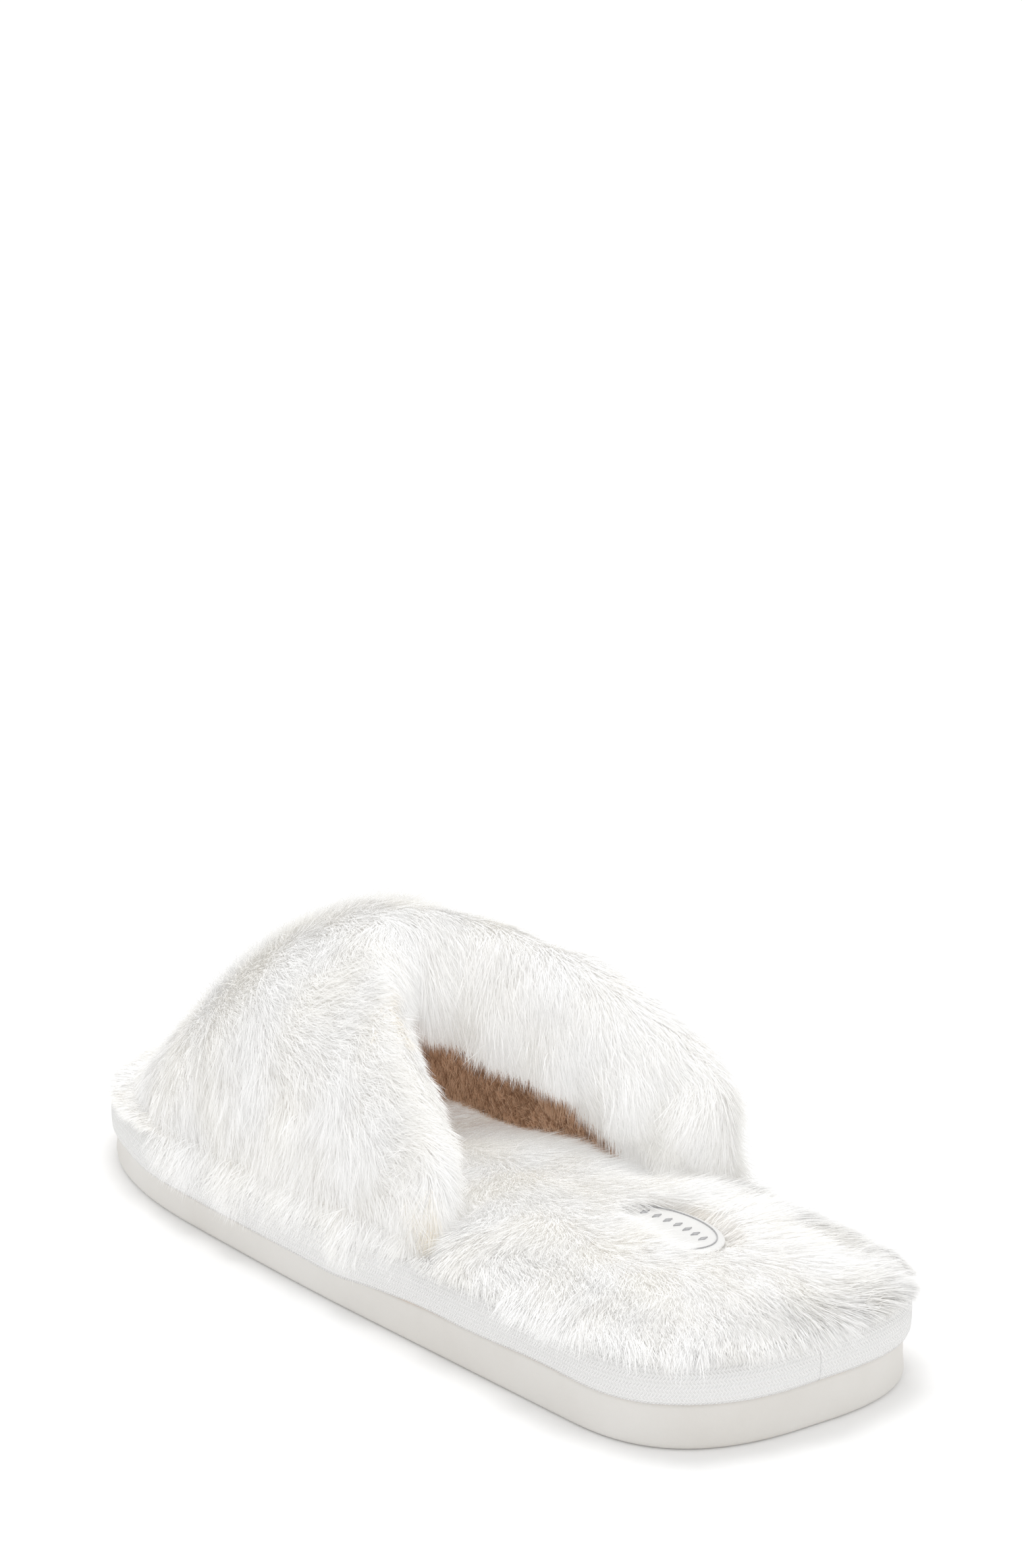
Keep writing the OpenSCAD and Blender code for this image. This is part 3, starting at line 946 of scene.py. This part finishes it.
def grow_fringe(pile, shaded_and_lit_pile):
    """Short pile on the tape's lip behind the upper, which hides the seam."""
    s, side = outline(BED_STEPS)
    lip = np.stack([rim(s, side, d, RIM_H + 0.1) for d in (-0.8, -1.6, -2.6, -TAPE_LIP - 1.0)])
    nap = np.zeros_like(lip) + unit(lip[0] - lip[-1]) + np.array([0, 0.2, -0.3])

    def behind_upper(p):
        return smooth((p[..., 1] - upper_end(p[..., 0]) + 4) / 6)

    pile.cover("fur_fringe", lip, nap, 32000, 6.5, (45, 112), "footbed_plush", shaded_and_lit_pile,
               keep=behind_upper, tuft=5.0, gather=0.4)


def grow_skirts(pile, white):
    """The lowest fur of the upper stands out and hangs over the tape. It is short and flat at the toe."""
    def near_toe(p):
        return toeward(p, -72, 35)

    for name, ends in (("outer", (0.0, HEM)), ("inner", (math.pi - HEM, math.pi))):
        hem = arch_grid(*ends, 0.0, 1.0, None, 8, 160)
        nap = np.zeros_like(hem) + np.array([0, 0.1, -1.0])
        lean = (lambda p: mix(30, 64, near_toe(p)), lambda p: mix(68, 100, near_toe(p)))
        pile.cover(f"fur_skirt_{name}", hem, nap, 18000, lambda p: mix(12.0, 8.0, near_toe(p)), lean,
                   "upper_plush", white, tuft=4.0, gather=0.2, swirl=0.2, curl=0.3)


# Rows of the toe's fur: how far out of the sole's outline, and the share of the tape's press that they follow
TOE_ROWS = ((-1.2, 1.0), (-2.5, 0.8), (-4.5, 0.15), (-7.0, 0.0), (-9.5, 0.0))


def grow_toe(pile, white):
    """Fur that stands out over the tape's lip, so that no bare step shows in front of the upper."""
    s, side = outline(BED_STEPS)
    press = toe_press(HALF_L - s)
    front = np.stack([rim(s, side, d, RIM_H + 0.6 - share * press) for d, share in TOE_ROWS])
    nap = np.zeros_like(front) + unit(front[0] - front[-1]) + np.array([0, 0, -0.3])
    pile.cover("fur_toe", front, nap, 34000, 5.2, (60, 104), "upper_plush", white,
               keep=lambda p: toeward(p, -72, 25), tuft=5.0, gather=0.3)


def grow_seams_and_crease_shade(pile, beige):
    """A few short beige fibres: partly the collar's seams showing through, partly painted shade in the creases.
    """
    # Where each patch starts and ends on the arch, then on the roll, in radians
    for name, ends, count in (("crease", (0.85, 1.15, 0.4, 1.3), 500), ("lobe", (0.03, 0.25, 0.3, 1.4), 650)):
        seam = collar_grid(*ends, rows=20, cols=20)
        nap = np.zeros_like(seam) + np.array([0, 0.3, -1.0])
        pile.cover(f"fur_seam_{name}", seam, nap, count, 8.5, (45, 80), "upper_plush", beige,
                   tuft=3.0, gather=0.5)


def grow_lining(pile, tan):
    """Short tan plush."""
    inner = arch_grid(0.0, math.pi, 0.0, 0.75, UPPER_T - 0.8, 140, 80)
    nap = -directions(inner)[1] + np.array([0, 0, -0.7])
    pile.cover("fur_lining", inner, nap, 56000, 3.8, (30, 65), "lining_plush", tan, flip=True,
               tuft=4.0, gather=0.3)


def make_pile():
    pile = Pile()
    white = shades_of("pile_white", WHITE_TONES, WHITE_GLOW)
    # The footbed's pile takes darker copies of the white for its rim and brighter ones for its middle: painted
    # shade and painted light.
    painted_shade_tones = [[tuple(RIM_PAINTED_SHADE * c for c in colour) for colour in tone] for tone in WHITE_TONES]
    shaded_and_lit_pile = shades_of("pile_rim", painted_shade_tones, RIM_GLOW)
    shaded_and_lit_pile += shades_of("pile_footbed", WHITE_TONES, BED_GLOW)
    tan = shades_of("pile_tan", TAN_TONES, TAN_GLOW)
    grow_upper(pile, white)
    grow_collars(pile, white)
    grow_facings(pile, white)
    grow_footbed(pile, shaded_and_lit_pile)
    grow_fringe(pile, shaded_and_lit_pile)
    grow_skirts(pile, white)
    grow_toe(pile, white)
    grow_seams_and_crease_shade(pile, shades_of("pile_beige", BEIGE_TONES, BEIGE_GLOW))
    grow_lining(pile, tan)


def dress_hidden_nodes(foam):
    """The nodes that keep their CAD meshes get their own materials."""
    board = plain_material("board", (0.50, 0.36, 0.22))
    chosen = {"insole_board": board, "footbed_foam": foam, "upper_foam_outer": foam, "upper_foam_inner": foam}
    for node, material in chosen.items():
        target = bpy.data.objects[node]
        for slot in target.material_slots:
            slot.material = material


def make_stage():
    """A pale floor. Its slight glow makes it read as white next to a white object."""
    size = 3.0
    corners = [(-size, -size, 0), (size, -size, 0), (size, size, 0), (-size, size, 0)]
    mesh = bpy.data.meshes.new("floor")
    mesh.from_pydata(corners, [], [(0, 1, 2, 3)])
    floor = bpy.data.objects.new("floor", mesh)
    bpy.context.scene.collection.objects.link(floor)
    m = Nodes("floor")
    m.set("Base Color", (0.97, 0.97, 0.97, 1))
    m.set("Roughness", 1.0)
    m.set("Specular IOR Level", 0.0)
    m.set("Emission Color", (1.0, 1.0, 1.0, 1))
    m.set("Emission Strength", 0.04)
    mesh.materials.append(m.material)


def make_light():
    """An even white sky, a soft overhead lamp for the tight shadow, and a weak one from behind the heel."""
    world = bpy.data.worlds.new("studio")
    world.use_nodes = True
    world.node_tree.nodes["Background"].inputs["Color"].default_value = (1.0, 1.0, 1.0, 1)
    world.node_tree.nodes["Background"].inputs["Strength"].default_value = 0.8
    bpy.context.scene.world = world

    def lamp(name, direction, strength, softness):
        light = bpy.data.lights.new(name, "SUN")
        light.energy = strength
        light.angle = math.radians(softness)
        sun = bpy.data.objects.new(name, light)
        sun.rotation_euler = Vector(direction).to_track_quat("Z", "Y").to_euler()
        bpy.context.scene.collection.objects.link(sun)

    lamp("key", (-0.05, -0.17, 1.0), 0.85, 24)
    lamp("fill", (0.2, 1.2, 0.35), 0.22, 60)


def make_camera():
    """The photograph's view: behind the heel, from the outer side, a little above."""
    azimuth, elevation = math.radians(141.84), math.radians(22.39)
    distance = 1.8465  # metres
    # The slipper stands low in the frame and a little to the left, so the camera is turned away from it
    turn, tilt = math.radians(-0.279664), math.radians(3.627293)
    back = Vector((math.sin(azimuth) * math.cos(elevation), -math.cos(azimuth) * math.cos(elevation),
                   math.sin(elevation)))
    data = bpy.data.cameras.new("camera")
    data.sensor_width = 36.0
    data.lens = 172.609
    data.clip_end = 20
    camera = bpy.data.objects.new("camera", data)
    right = Vector((math.cos(azimuth), math.sin(azimuth), 0))
    up = back.cross(right)
    yaw = Matrix.Rotation(turn, 4, up)
    pitch = Matrix.Rotation(tilt, 4, right)
    basis = Matrix((right, up, back)).transposed().to_4x4()
    camera.matrix_world = Matrix.Translation(back * distance) @ yaw @ pitch @ basis
    bpy.context.scene.collection.objects.link(camera)
    bpy.context.scene.camera = camera
    bpy.context.scene.view_settings.view_transform = "Standard"


make_camera()
make_light()
make_stage()
make_outsole()
make_cement()
make_tape()
FOAM = plain_material("cushion_foam", (0.85, 0.82, 0.70))
GROUND = underfur_material("plush_ground", (0.84, 0.82, 0.78), (0.92, 0.91, 0.885))
LINING = underfur_material("lining_ground", (0.42, 0.275, 0.175), (0.54, 0.38, 0.26))
make_footbed(GROUND)
for half in SIDE_NAMES:
    make_upper(half, GROUND)
    make_lining(half, LINING)
    make_collar(half, GROUND, FOAM)
make_label()
dress_hidden_nodes(FOAM)
make_pile()

bpy.context.view_layer.update()
